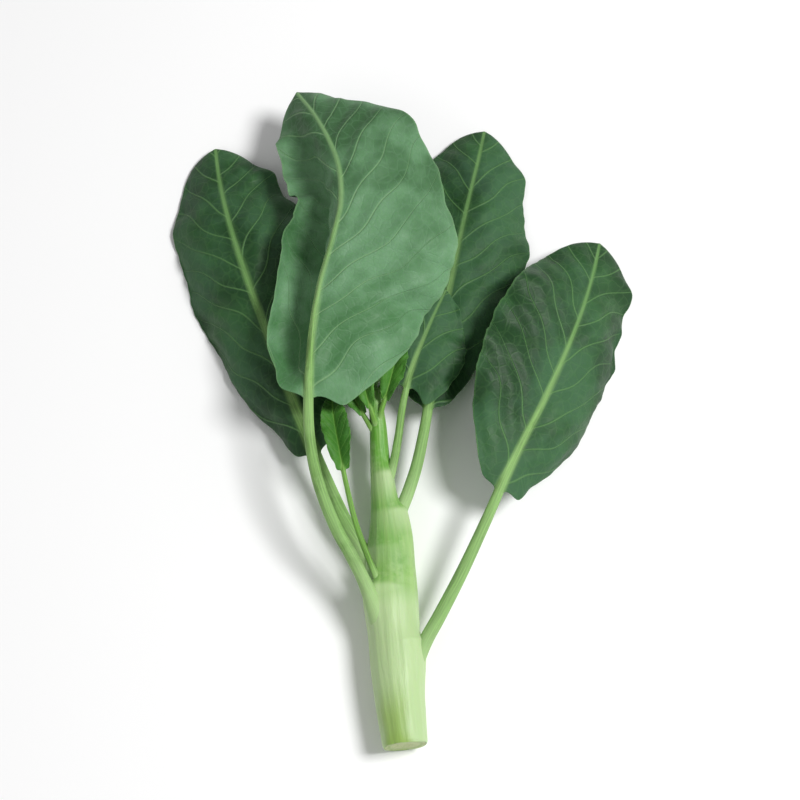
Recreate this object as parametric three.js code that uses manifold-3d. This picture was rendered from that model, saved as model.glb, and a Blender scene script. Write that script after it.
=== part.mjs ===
// Baby Chinese broccoli (gai lan): one cut stalk, lying on its side as it would on a table.
//
// Millimetres, +Z up. The stalk runs along +Y, from the cut end of its stem to the tips of its leaves,
// and rests on the plane Z = 0. The origin is under the middle of the whole stalk.
//
// The pieces are those that come apart in the hand: the stem, five grown leaves (each a petiole, its
// midrib and its blade), the young leaves round the growing tip, the axillary leaf, and the closed
// flower buds. Every piece is a closed solid, and neighbours keep a small gap where they touch.

import * as THREE from "three";
import { mergeVertices } from "three/addons/utils/BufferGeometryUtils.js";
import Module from "manifold-3d";

const wasm = await Module();
wasm.setup();

// ---------------------------------------------------------------- driving dimensions

const STEM_RADIUS = 7.4; // the thickest part of the stem
const BLADE_THICKNESS = 0.9; // a leaf blade halfway out from its midrib
const FIT_GAP = 0.3; // between a leaf base and the stem that carries it
const FLOOR_CLEAR = 0.55; // the middle of a blade that lies pressed on the table
const FLOOR_SOFTNESS = 0.6; // how gradually a blade flattens as it comes down on the table

const STEM_MESH = { around: 24, rows: 36 };
const LEAF_MESH = { around: 20, rows: 32 };
const SMALL_LEAF_MESH = { around: 16, rows: 20 };
const YOUNG_LEAF_MESH = { around: 12, rows: 16 };
const BUD_MESH = { around: 8, rows: 9 };

const GREEN = {
  stem: { color: 0xb4d08c, roughness: 0.42, metalness: 0 },
  leaf: { color: 0x4b6d55, roughness: 0.55, metalness: 0 },
  youngLeaf: { color: 0x5a9a3c, roughness: 0.5, metalness: 0 },
  bud: { color: 0x7fae55, roughness: 0.5, metalness: 0 },
};

// ---------------------------------------------------------------- curves and tracks

const vector = (p) => new THREE.Vector3(...p);
const radians = THREE.MathUtils.degToRad;
const clamp01 = (x) => Math.min(1, Math.max(0, x));

function smooth(x) {
  const t = clamp01(x);
  return t * t * (3 - 2 * t);
}

function curveThrough(points) {
  return new THREE.CatmullRomCurve3(points.map(vector), false, "catmullrom", 0.5);
}

// A smooth value along 0..1 through evenly spaced knots.
function track(knots, at) {
  const last = knots.length - 1;
  const place = clamp01(at) * last;
  const i = Math.min(Math.floor(place), last - 1);
  const t = place - i;
  const before = knots[Math.max(i - 1, 0)];
  const a = knots[i];
  const b = knots[i + 1];
  const after = knots[Math.min(i + 2, last)];
  const slopeA = (b - before) / 2;
  const slopeB = (after - a) / 2;
  const c = 3 * (b - a) - 2 * slopeA - slopeB;
  const d = 2 * (a - b) + slopeA + slopeB;
  return a + t * (slopeA + t * (c + t * d));
}

// Directions at a place on a curve: along it, to its right, and up from it, turned by roll degrees.
function frameOn(curve, along, roll) {
  const tangent = curve.getTangentAt(clamp01(along));
  const level = new THREE.Vector3().crossVectors(tangent, new THREE.Vector3(0, 0, 1)).normalize();
  const steep = new THREE.Vector3().crossVectors(level, tangent);
  const turn = radians(roll);
  const right = level.clone().multiplyScalar(Math.cos(turn)).addScaledVector(steep, Math.sin(turn));
  const up = new THREE.Vector3().crossVectors(right, tangent);
  return { tangent, right, up };
}

// A closed tube: a capped cylinder whose wall is moved to place(along, angle, reach).
// reach is 1 on the wall and 0 at the middle of a cap; around is a multiple of four.
function loft(around, rows, place) {
  const tube = new THREE.CylinderGeometry(1, 1, 1, around, rows);
  const position = tube.getAttribute("position");
  const step = (2 * Math.PI) / around;
  const raw = new THREE.Vector3();
  for (let i = 0; i < position.count; i++) {
    raw.fromBufferAttribute(position, i);
    const steps = Math.round(Math.atan2(raw.z, raw.x) / step);
    const angle = ((steps + around) % around) * step;
    const reach = Math.round(Math.hypot(raw.x, raw.z));
    const moved = place(0.5 + raw.y, angle, reach);
    position.setXYZ(i, moved.x, moved.y, moved.z);
  }
  return tube;
}

// ---------------------------------------------------------------- solids

function solidOf(geometry) {
  const bare = geometry.clone();
  bare.deleteAttribute("normal");
  bare.deleteAttribute("uv");
  const merged = mergeVertices(bare, 1e-4);
  return new wasm.Manifold(
    new wasm.Mesh({
      numProp: 3,
      vertProperties: merged.getAttribute("position").array,
      triVerts: merged.index.array,
    }),
  );
}

function geometryOf(solid) {
  const mesh = solid.getMesh();
  const geometry = new THREE.BufferGeometry();
  geometry.setAttribute("position", new THREE.BufferAttribute(mesh.vertProperties, 3));
  geometry.setIndex(new THREE.BufferAttribute(mesh.triVerts, 1));
  geometry.computeVertexNormals();
  return geometry;
}

function piece(name, geometry, finish) {
  const mesh = new THREE.Mesh(geometry, new THREE.MeshStandardMaterial(finish));
  mesh.name = name;
  return mesh;
}

// ---------------------------------------------------------------- stem

// From the cut end, past the nodes, to the growing tip.
const stemCurve = curveThrough([
  [7.6, -99, 7.42],
  [6.2, -87, 7.5],
  [4.8, -73, 7.6],
  [4.0, -58, 7.6],
  [3.4, -45, 7.8],
  [2.4, -34, 8.3],
  [1.2, -24, 9.2],
  [0.2, -14, 10.4],
  [-0.4, -4, 12.2],
  [-1.6, 5, 14.4],
]);

// Radius along the stem, as a share of the thickest part.
const STEM_TAPER = [0.86, 0.95, 1.0, 1.0, 0.98, 0.86, 0.58, 0.42, 0.34, 0.26];

// Where the leaves stand: along the stem (0 at the cut end), the way round it in degrees from its
// right side over its top, and how far the stem swells out under the leaf base.
const NODES = {
  right: { along: 0.27, round: 14, swell: 1.5 },
  front: { along: 0.425, round: 145, swell: 1.8 },
  back_left: { along: 0.54, round: 205, swell: 1.0 },
  back_right: { along: 0.645, round: 15, swell: 1.8 },
  upper: { along: 0.755, round: 60, swell: 0.9 },
};

const SWELL_BELOW = 0.16; // how far below a node, along the stem, its swelling starts
const SWELL_ABOVE = 0.05; // and how soon it ends above
const SWELL_WIDTH = 42; // degrees round the stem

function stemRadius(along, round) {
  let radius = STEM_RADIUS * track(STEM_TAPER, along);
  for (const node of Object.values(NODES)) {
    const rise = smooth((along - node.along + SWELL_BELOW) / SWELL_BELOW);
    const fall = 1 - smooth((along - node.along) / SWELL_ABOVE);
    const off = ((round - node.round + 540) % 360) - 180;
    radius += node.swell * rise * fall * Math.exp(-((off / SWELL_WIDTH) ** 2));
  }
  return radius;
}

function stemPoint(along, round, radius) {
  const { right, up } = frameOn(stemCurve, along, 0);
  return stemCurve
    .getPointAt(along)
    .addScaledVector(right, radius * Math.cos(radians(round)))
    .addScaledVector(up, radius * Math.sin(radians(round)));
}

// The stem, or with extra the room it needs: thicker, and longer at the growing tip.
function stem(extra) {
  const tipward = stemCurve.getTangentAt(1).multiplyScalar(extra);
  return loft(STEM_MESH.around, STEM_MESH.rows, (along, angle, reach) => {
    const round = THREE.MathUtils.radToDeg(angle);
    const point = stemPoint(along, round, reach * (stemRadius(along, round) + extra));
    return along === 1 ? point.add(tipward) : point;
  });
}

// ---------------------------------------------------------------- leaves

// Each leaf is one tube along its spine, round in the petiole and spread flat in the blade.
//   spine      from inside the stem to the leaf's tip
//   petiole    the share of the spine before the blade starts
//   stalk      radius at the stem, where the blade starts, and at the tip
//   width      greatest half-width of the blade, to the left and to the right of the midrib
//   widest     how far up the blade that is
//   fullness   how bluntly the outline closes, low being round: at the base, then at the tip to the
//              left and to the right
//   lobe       how far the margin hangs back past the base of the blade, to the left and right
//   roll       turn about the spine in degrees, from its start to its end
//   left,right at four stations up the blade, the slope of that half in degrees at four places from
//              the midrib out to the margin: negative slopes down
//   ruffle     height of the waves along the margin, how many, and where they start on each side
//   ribUp      true where the underside, with its raised midrib, faces up
const LEAVES = {
  leaf_front: {
    spine: [
      [2.2, -70, 8.6],
      [-0.6, -61.5, 12.2],
      [-4.2, -53, 15.4],
      [-8, -46, 18.2],
      [-12.4, -38.5, 21],
      [-17, -27, 23.6],
      [-19.6, -15, 25.4],
      [-20.3, -3, 27],
      [-19.8, 14.5, 29.4],
      [-17.6, 31, 31.8],
      [-13.8, 45.5, 33.6],
      [-11.4, 57, 34],
      [-12, 69, 32.8],
      [-15.4, 80, 30],
      [-20, 90.5, 25.5],
      [-25.6, 101.5, 18],
    ],
    petiole: 0.405,
    stalk: [2.08, 1.49, 0.43],
    width: [29, 37],
    widest: 0.4,
    fullness: [0.78, 0.46, 0.8],
    lobe: [3, 8],
    roll: [0, 0, -4, -6, -4, 2, 6],
    left: [
      [-74, -66, 0, 26],
      [-92, -80, 4, 64],
      [-16, -98, -18, 46],
      [-6, -26, -34, -26],
    ],
    right: [
      [-2, -6, -14, -26],
      [10, -1, -16, -34],
      [12, -2, -16, -30],
      [0, -8, -16, -24],
    ],
    ruffle: [2.2, 3.4, 0.2, 0.65],
    ribUp: true,
  },
  leaf_right: {
    spine: [
      [6.2, -86, 7.8],
      [10.2, -76, 9],
      [13.6, -69, 10.3],
      [17.6, -62, 11.8],
      [24.2, -49.5, 14.2],
      [30.6, -36, 16.2],
      [36.6, -22.5, 17.2],
      [42.4, -10.5, 17.4],
      [48.4, 1.5, 17.2],
      [54.4, 15, 16.4],
      [60, 29.5, 14],
      [64.4, 44, 9.8],
      [67.4, 57, 4],
    ],
    petiole: 0.42,
    stalk: [2.3, 1.5, 0.4],
    width: [25, 25],
    widest: 0.46,
    fullness: [0.8, 0.52, 0.52],
    lobe: [3, 5],
    roll: [0, -3, -8, -13, -13, -6],
    left: [
      [18, 12, 3, -8],
      [20, 13, 2, -12],
      [16, 10, 3, -6],
      [8, 2, -4, -10],
    ],
    right: [
      [8, -15, -41, -70],
      [6, -24, -52, -76],
      [0, -28, -50, -66],
      [-4, -18, -29, -36],
    ],
    ruffle: [2.0, 3.2, 0.05, 0.4],
    ribUp: false,
  },
  leaf_back_right: {
    spine: [
      [3.2, -40, 8],
      [5.6, -32, 8.8],
      [8.4, -25, 9.6],
      [11.2, -16, 10.4],
      [13.6, -4, 11],
      [15.6, 9, 10.6],
      [18, 23, 10.6],
      [20.8, 38, 10.8],
      [24, 54, 10.8],
      [27.4, 70, 10],
      [30.4, 84, 7],
      [32.6, 96, 2.6],
    ],
    petiole: 0.3,
    stalk: [2.1, 1.5, 0.4],
    width: [26, 24],
    widest: 0.5,
    fullness: [0.85, 0.52, 0.52],
    lobe: [2, 3],
    roll: [0, 2, 4, 6, 6, 2],
    left: [
      [-6, -12, -20, -30],
      [-4, -11, -20, -30],
      [0, -10, -20, -30],
      [0, -7, -13, -20],
    ],
    right: [
      [8, -10, -29, -50],
      [8, -16, -39, -62],
      [4, -19, -40, -58],
      [0, -15, -28, -38],
    ],
    ruffle: [1.8, 3.6, 0.5, 0.1],
    ribUp: false,
  },
  leaf_back_left: {
    spine: [
      [2, -56, 7.2],
      [-1.6, -48, 6.8],
      [-5.2, -41, 7],
      [-10.4, -32, 7.6],
      [-16.8, -18, 9.2],
      [-23, -3, 11.2],
      [-29.4, 13, 12.6],
      [-35.6, 29.5, 13.6],
      [-41.4, 46, 13.6],
      [-46.2, 62, 11.6],
      [-49.6, 77, 7.2],
      [-51.6, 90, 2.4],
    ],
    petiole: 0.3,
    stalk: [2.4, 1.9, 0.45],
    width: [25, 27],
    widest: 0.52,
    fullness: [0.85, 0.52, 0.52],
    lobe: [4, 3],
    roll: [0, 4, 6, 6, 2, 0],
    left: [
      [4, -18, -40, -64],
      [2, -25, -50, -74],
      [0, -25, -46, -64],
      [0, -15, -27, -36],
    ],
    right: [
      [0, -13, -24, -34],
      [4, -10, -23, -34],
      [4, -8, -21, -34],
      [4, -5, -15, -24],
    ],
    ruffle: [2.0, 3.8, 0.3, 0.8],
    ribUp: false,
  },
  leaf_upper: {
    spine: [
      [1, -25, 9.4],
      [3.8, -18, 11.6],
      [5.6, -9, 13],
      [6.8, 0, 14.2],
      [8.8, 9, 15.6],
      [12, 18, 17],
      [15.8, 27, 17.8],
      [19.8, 36, 17.4],
    ],
    petiole: 0.5,
    stalk: [1.4, 1.0, 0.3],
    width: [11, 14],
    widest: 0.36,
    fullness: [0.55, 0.7, 0.7],
    lobe: [3, 6],
    roll: [0, -2, -4, -4],
    left: [
      [6, 2, -4, -10],
      [8, 2, -4, -12],
      [6, -1, -8, -16],
      [0, -6, -12, -20],
    ],
    right: [
      [4, 0, -8, -18],
      [4, -2, -10, -20],
      [2, -5, -12, -20],
      [0, -6, -12, -20],
    ],
    ruffle: [1.0, 2.6, 0.3, 0.0],
    ribUp: false,
  },
};

function outline(leaf, side, blade) {
  const width = leaf.width[side < 0 ? 0 : 1];
  if (blade < leaf.widest) {
    return width * Math.sin((Math.PI / 2) * (blade / leaf.widest)) ** leaf.fullness[0];
  }
  const beyond = (blade - leaf.widest) / (1 - leaf.widest);
  const bluntness = leaf.fullness[side < 0 ? 1 : 2];
  return width * Math.max(0, Math.cos((Math.PI / 2) * beyond)) ** bluntness;
}

const BASE_FLARE = 1.45; // how much a leaf base widens where it clasps the stem
const MIDRIB_TAPER = 0.5; // how soon a midrib thins: low is soon

function stalkRadius(leaf, along) {
  const [base, top, tip] = leaf.stalk;
  if (along < leaf.petiole) {
    const down = 1 - along / leaf.petiole;
    return top + (base - top) * down + base * (BASE_FLARE - 1) * smooth((down - 0.7) / 0.3);
  }
  const up = (along - leaf.petiole) / (1 - leaf.petiole);
  return top + (tip - top) * up ** MIDRIB_TAPER;
}

// How far a blade reaches sideways and up at a distance out from its midrib, and its slope there.
const SECTION_STEPS = 18;

function section(leaf, side, blade, distance, halfWidth) {
  const stations = side < 0 ? leaf.left : leaf.right;
  const slopes = [0, 1, 2, 3].map((k) =>
    track(
      stations.map((row) => row[k]),
      blade,
    ),
  );
  const open = smooth(blade / 0.12);
  const step = distance / SECTION_STEPS;
  let sideways = 0;
  let up = 0;
  let slope = 0;
  for (let i = 0; i < SECTION_STEPS; i++) {
    const q = clamp01(((i + 0.5) * step) / halfWidth);
    slope = open * radians(track(slopes, q));
    sideways += step * Math.cos(slope);
    up += step * Math.sin(slope);
  }
  return { sideways, up, slope };
}

function ruffle(leaf, side, blade, q) {
  const [height, waves, startLeft, startRight] = leaf.ruffle;
  const start = side < 0 ? startLeft : startRight;
  const fade = smooth(blade / 0.2) * smooth((1 - blade) / 0.15);
  const wave = Math.sin(2 * Math.PI * (waves * blade + start));
  const quick = 0.35 * Math.sin(2 * Math.PI * (2.3 * waves * blade + 2 * start));
  return height * fade * q ** 2.2 * (wave + quick);
}

// A blade that comes down on the table flattens against it.
function restOnTable(z) {
  return FLOOR_CLEAR + FLOOR_SOFTNESS * Math.log1p(Math.exp((z - FLOOR_CLEAR) / FLOOR_SOFTNESS));
}

// How much of its slope a blade keeps as it flattens: 1 well clear of the table, 0 pressed on it.
function tableGive(z) {
  return 1 / (1 + Math.exp((FLOOR_CLEAR - z) / FLOOR_SOFTNESS));
}

// A point of a leaf: across runs from -1 at the left margin to 1 at the right one.
function leafPoint(leaf, curve, along, across, lift) {
  const blade = clamp01((along - leaf.petiole) / (1 - leaf.petiole));
  const side = Math.sign(across);
  const halfWidth = Math.hypot(stalkRadius(leaf, along), outline(leaf, side, blade));
  const q = Math.abs(across);
  const cut = section(leaf, side, blade, q * halfWidth, halfWidth);
  const { tangent, right, up } = frameOn(curve, along, track(leaf.roll, along));
  const wave = ruffle(leaf, side, blade, q) * Math.max(0.3, Math.cos(cut.slope));
  const hang = leaf.lobe[side < 0 ? 0 : 1] * q ** 2 * smooth(blade / 0.06) * (1 - smooth(blade / 0.4));
  const middle = curve
    .getPointAt(clamp01(along))
    .addScaledVector(tangent, -hang)
    .addScaledVector(right, side * (cut.sideways - wave * Math.sin(cut.slope)))
    .addScaledVector(up, cut.up + wave * Math.cos(cut.slope));
  const tilt = Math.atan2(Math.sin(cut.slope) * tableGive(middle.z), Math.cos(cut.slope));
  if (blade > 0) middle.z = restOnTable(middle.z);
  return middle
    .addScaledVector(right, -side * lift * Math.sin(tilt))
    .addScaledVector(up, lift * Math.cos(tilt));
}

// Half the thickness above (face 1) or below (face -1) the middle of the blade.
function thickness(leaf, along, across, face) {
  const blade = clamp01((along - leaf.petiole) / (1 - leaf.petiole));
  const radius = stalkRadius(leaf, along);
  const side = Math.sign(across);
  const halfWidth = Math.hypot(radius, outline(leaf, side, blade));
  const distance = Math.abs(across) * halfWidth;
  const edge = Math.sqrt(Math.max(0, 1 - across * across));
  const rib = radius * Math.sqrt(Math.max(0, 1 - (distance / radius) ** 2));
  const ribFace = leaf.ribUp ? 1 : -1;
  const flatSide = face === ribFace ? 1 : 1 - 0.7 * smooth(blade / 0.1);
  const web = (BLADE_THICKNESS / 2) * Math.sqrt(edge);
  return Math.max(rib * flatSide, Math.min(web, radius * edge + web * smooth(blade / 0.05)));
}

const COLUMN_GATHER = 1.8; // draws the columns of a leaf in towards its midrib

function leaf(recipe, mesh) {
  const curve = curveThrough(recipe.spine);
  return loft(mesh.around, mesh.rows, (along, angle, reach) => {
    const cosine = Math.cos(angle);
    const across = Math.sign(cosine) * Math.abs(cosine) ** COLUMN_GATHER;
    const face = Math.sin(angle) >= 0 ? 1 : -1;
    const lift = face * thickness(recipe, along, across, face);
    return leafPoint(recipe, curve, along, reach * across, reach * lift);
  });
}

// ---------------------------------------------------------------- young growth

// A young leaf: as a grown one, from a few points, with one half-width and an even, curled section.
function youngLeaf(spine, halfWidth, cup, crinkle) {
  const slopes = [1, 1, 0.8, 0.5].map((share) => [1, 0.95, 0.7, 0.3].map((v) => cup * share * v));
  return {
    spine,
    petiole: 0.3,
    stalk: [1.0, 0.7, 0.3],
    width: [halfWidth, halfWidth],
    widest: 0.5,
    fullness: [0.8, 0.75, 0.75],
    lobe: [1, 1],
    roll: [0, 0],
    left: slopes,
    right: slopes,
    ruffle: [crinkle, 2.8, 0.15, 0.6],
    ribUp: false,
  };
}

const YOUNG_LEAVES = {
  young_leaf_left: youngLeaf(
    [
      [-0.4, -9, 11.4],
      [-3.2, -4.5, 13.2],
      [-6.6, 1, 14.8],
      [-9.8, 8, 16],
      [-12.6, 15.5, 16.2],
    ],
    4.2,
    46,
    0.6,
  ),
  young_leaf_right: youngLeaf(
    [
      [-0.4, -5, 12.2],
      [0.8, -1, 15.6],
      [2.6, 4, 18.4],
      [4.6, 11, 20.2],
      [7, 19, 20.6],
    ],
    4.2,
    46,
    0.6,
  ),
  young_leaf_top: youngLeaf(
    [
      [-0.4, -7, 11.8],
      [-1.8, -3, 15.6],
      [-3.6, 2, 18.6],
      [-5.2, 8.5, 20.6],
      [-6.6, 16.5, 21.2],
    ],
    3.8,
    46,
    0.6,
  ),
  axil_leaf: {
    ...youngLeaf(
      [
        [1.4, -56, 11],
        [-2.6, -47, 14.6],
        [-6.4, -37, 17],
        [-9.2, -26, 18.4],
        [-11.4, -15, 19],
        [-13, -6, 18.6],
        [-14, 2, 17.4],
      ],
      4.8,
      46,
      0.5,
    ),
    petiole: 0.62,
    fullness: [0.55, 0.5, 0.5],
  },
};

// Closed flower buds round the growing tip, in rings: where along the stem, lean away from it in
// degrees, length of pedicel, and turns round the stem in degrees.
const BUD_LENGTH = 4.6;
const BUD_RADIUS = 1.45;
const PEDICEL_RADIUS = 0.42;
const BUD_RINGS = [
  { along: 0.965, lean: 64, pedicel: 3.2, rounds: [236, 304] },
  { along: 0.985, lean: 38, pedicel: 5.6, rounds: [60, 118, 206, 278] },
  { along: 0.992, lean: 0, pedicel: 8.4, rounds: [0] },
];

function bud(along, round, lean, pedicel) {
  const { tangent, right, up } = frameOn(stemCurve, along, 0);
  const outward = right
    .clone()
    .multiplyScalar(Math.cos(radians(round)))
    .addScaledVector(up, Math.sin(radians(round)));
  const aside = new THREE.Vector3().crossVectors(tangent, outward);
  const total = pedicel + BUD_LENGTH;
  const root = stemCurve.getPointAt(along);
  return loft(BUD_MESH.around, BUD_MESH.rows, (rise, angle, reach) => {
    const s = rise * total;
    const inBud = clamp01((s - pedicel) / BUD_LENGTH);
    const bulge = Math.sqrt(Math.max(0, Math.sin(Math.PI * Math.min(0.97, inBud) ** 0.85)));
    const radius = PEDICEL_RADIUS + (BUD_RADIUS - PEDICEL_RADIUS) * bulge;
    const turn = radians(lean * (1 - 0.35 * rise));
    const heading = tangent.clone().multiplyScalar(Math.cos(turn));
    heading.addScaledVector(outward, Math.sin(turn));
    const across = new THREE.Vector3().crossVectors(heading, aside);
    return root
      .clone()
      .addScaledVector(heading, s)
      .addScaledVector(across, reach * radius * Math.cos(angle))
      .addScaledVector(aside, reach * radius * Math.sin(angle));
  });
}

// ---------------------------------------------------------------- assembly

const stalk = new THREE.Group();
stalk.add(piece("stem", geometryOf(solidOf(stem(0))), GREEN.stem));

const stemRoom = solidOf(stem(FIT_GAP));

function grow(name, geometry, finish) {
  stalk.add(piece(name, geometryOf(solidOf(geometry).subtract(stemRoom)), finish));
}

for (const [name, recipe] of Object.entries(LEAVES)) {
  grow(name, leaf(recipe, name === "leaf_upper" ? SMALL_LEAF_MESH : LEAF_MESH), GREEN.leaf);
}
for (const [name, recipe] of Object.entries(YOUNG_LEAVES)) {
  grow(name, leaf(recipe, YOUNG_LEAF_MESH), GREEN.youngLeaf);
}
let budNumber = 0;
for (const { along, lean, pedicel, rounds } of BUD_RINGS) {
  for (const round of rounds) {
    budNumber += 1;
    grow(`bud_${budNumber}`, bud(along, round, lean, pedicel), GREEN.bud);
  }
}

// The origin is under the middle of the stalk, on the table.
const bounds = new THREE.Box3().setFromObject(stalk);
const middle = bounds.getCenter(new THREE.Vector3());
for (const grown of stalk.children) {
  grown.geometry.translate(-middle.x, -middle.y, -bounds.min.z);
}

export default stalk;
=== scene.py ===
# %% [markdown]
# # A stalk of baby Chinese broccoli
# Baby Chinese broccoli, or gai lan, is a young cabbage cut whole: a stout pale stem, a few broad
# leaves on long stalks, and a tuft of young leaves and closed buds at the tip. This lesson grows one
# stalk that lies on a table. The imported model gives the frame: where every piece is and how big.
# Each piece here then takes the place of its plain solid, with the veins, waves and waxy skin that
# the plant has.

import math

import bpy
import numpy as np
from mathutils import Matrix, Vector


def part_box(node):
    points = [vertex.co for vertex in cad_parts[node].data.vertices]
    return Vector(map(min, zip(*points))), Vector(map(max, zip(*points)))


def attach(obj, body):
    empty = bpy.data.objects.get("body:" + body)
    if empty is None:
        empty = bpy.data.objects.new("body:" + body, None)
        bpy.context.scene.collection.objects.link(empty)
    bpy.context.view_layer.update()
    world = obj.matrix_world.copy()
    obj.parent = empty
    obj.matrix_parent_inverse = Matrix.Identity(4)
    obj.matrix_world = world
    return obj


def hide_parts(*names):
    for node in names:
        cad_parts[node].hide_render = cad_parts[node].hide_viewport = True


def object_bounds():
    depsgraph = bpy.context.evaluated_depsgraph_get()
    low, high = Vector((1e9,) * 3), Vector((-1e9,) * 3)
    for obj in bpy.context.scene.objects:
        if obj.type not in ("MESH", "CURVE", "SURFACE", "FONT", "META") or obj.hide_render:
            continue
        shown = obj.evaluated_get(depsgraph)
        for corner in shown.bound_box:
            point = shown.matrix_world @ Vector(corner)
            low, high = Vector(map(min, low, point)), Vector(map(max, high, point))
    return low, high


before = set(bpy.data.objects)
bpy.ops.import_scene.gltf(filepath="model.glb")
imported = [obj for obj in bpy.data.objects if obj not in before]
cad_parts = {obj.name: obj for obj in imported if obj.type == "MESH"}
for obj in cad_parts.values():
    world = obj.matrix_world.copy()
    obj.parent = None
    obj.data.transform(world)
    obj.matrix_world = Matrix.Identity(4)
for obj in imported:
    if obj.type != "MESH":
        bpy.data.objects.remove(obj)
solid_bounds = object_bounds()
MM = 0.001
print("solid box in mm:", [[round(v / MM, 1) for v in corner] for corner in solid_bounds])

# %% [markdown]
# ## Curves to grow along
# Everything on this plant follows a line: the stem its axis, a leaf its midrib. A spine is a smooth
# curve through a few given points, measured by its own length, so that a share of 0.5 is half
# way along it however the points are spaced. A track is the same idea for one number, such as a
# radius that swells and narrows.


# %% Tracks and spines
def smooth(x):
    t = np.clip(x, 0, 1)
    return t * t * (3 - 2 * t)


def track(knots, at):
    """A smooth value along 0..1 through evenly spaced knots."""
    knots = np.asarray(knots, float)
    last = len(knots) - 1
    place = np.clip(at, 0, 1) * last
    i = np.minimum(place.astype(int), last - 1)
    t = place - i
    before, a = knots[np.maximum(i - 1, 0)], knots[i]
    b, after = knots[i + 1], knots[np.minimum(i + 2, last)]
    slope_a, slope_b = (b - before) / 2, (after - a) / 2
    c = 3 * (b - a) - 2 * slope_a - slope_b
    d = 2 * (a - b) + slope_a + slope_b
    return a + t * (slope_a + t * (c + t * d))


def unit(v):
    return v / np.linalg.norm(v, axis=-1, keepdims=True)


class Spine:
    """A smooth curve through points in millimetres, measured by its own length from 0 to 1."""

    def __init__(self, points, steps=1500):
        p = np.array(points, float)
        p = np.vstack([2 * p[0] - p[1], p, 2 * p[-1] - p[-2]])
        place = np.linspace(0, len(points) - 1, steps)
        i = np.minimum(place.astype(int), len(points) - 2)
        t = (place - i)[:, None]
        before, a, b, after = p[i], p[i + 1], p[i + 2], p[i + 3]
        slope_a, slope_b = (b - before) / 2, (after - a) / 2
        c = 3 * (b - a) - 2 * slope_a - slope_b
        d = 2 * (a - b) + slope_a + slope_b
        self.points = a + t * (slope_a + t * (c + t * d))
        steps_along = np.linalg.norm(np.diff(self.points, axis=0), axis=1)
        travelled = np.concatenate([[0], np.cumsum(steps_along)])
        self.length = travelled[-1]
        self.share = travelled / self.length

    def at(self, along):
        return np.stack([np.interp(along, self.share, self.points[:, k]) for k in range(3)],
            axis=-1)

    def directions(self, along, roll):
        """Along the spine, to its right, and up from it, turned by roll degrees."""
        reach = 0.004
        tangent = unit(self.at(np.minimum(along + reach, 1)) - self.at(np.maximum(along - reach,
            0)))
        level = unit(np.cross(tangent, (0, 0, 1)))
        steep = np.cross(level, tangent)
        turn = np.radians(roll)[..., None]
        right = level * np.cos(turn) + steep * np.sin(turn)
        return tangent, right, np.cross(right, tangent)


# %% [markdown]
# ## Turning rows of points into a closed piece
# Stem, leaf and bud are all one shape to a modeller: a tube whose rings change from row to row. A
# leaf is only a tube that has been pressed flat. One helper therefore makes every mesh: it joins the
# rings, closes both ends, and writes what the finishes need to know about each point.


# %% The tube helper
def ring_angles(around):
    return np.arange(around) * (2 * math.pi / around)


def tube_mesh(name, rings, values=None, map_name=None, map_values=None):
    """A closed mesh in metres from rings[row, angle, xyz] in millimetres."""
    rows, around, _ = rings.shape
    ends = np.stack([rings[0].mean(axis=0), rings[-1].mean(axis=0)])
    points = np.vstack([rings.reshape(-1, 3), ends]) * MM
    faces = []
    for row in range(rows - 1):
        low, high = row * around, (row + 1) * around
        for k in range(around):
            after = (k + 1) % around
            faces.append((low + k, low + after, high + after, high + k))
    first, last = rows * around, rows * around + 1
    top = (rows - 1) * around
    for k in range(around):
        after = (k + 1) % around
        faces.append((first, after, k))
        faces.append((last, top + k, top + after))
    mesh = bpy.data.meshes.new(name)
    mesh.from_pydata(points.tolist(), [], faces)

    def with_ends(per_ring):
        return np.concatenate([per_ring.reshape(-1), [per_ring[0].mean(), per_ring[-1].mean()]])

    for key, per_ring in (values or {}).items():
        attribute = mesh.attributes.new(key, "FLOAT", "POINT")
        attribute.data.foreach_set("value", with_ends(per_ring).astype(np.float32))
    if map_name:
        corner = np.empty(len(mesh.loops), np.int32)
        mesh.loops.foreach_get("vertex_index", corner)
        flat = np.stack([with_ends(map_values[..., 0]), with_ends(map_values[..., 1])], axis=-1)
        layer = mesh.uv_layers.new(name=map_name)
        layer.data.foreach_set("uv", flat[corner].astype(np.float32).ravel())
    mesh.shade_smooth()
    mesh.update()
    return mesh


def piece_from(mesh):
    made = bpy.data.objects.new(mesh.name, mesh)
    bpy.context.scene.collection.objects.link(made)
    print(f"{mesh.name}: {len(mesh.vertices)} points, {len(mesh.polygons)} faces")
    return made


# %% [markdown]
# ## Wiring finishes
# A finish is a small machine of nodes. These few words, such as mix, noise and fade, make a node and
# wire it in one line, so that each finish below reads like a recipe.


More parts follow.
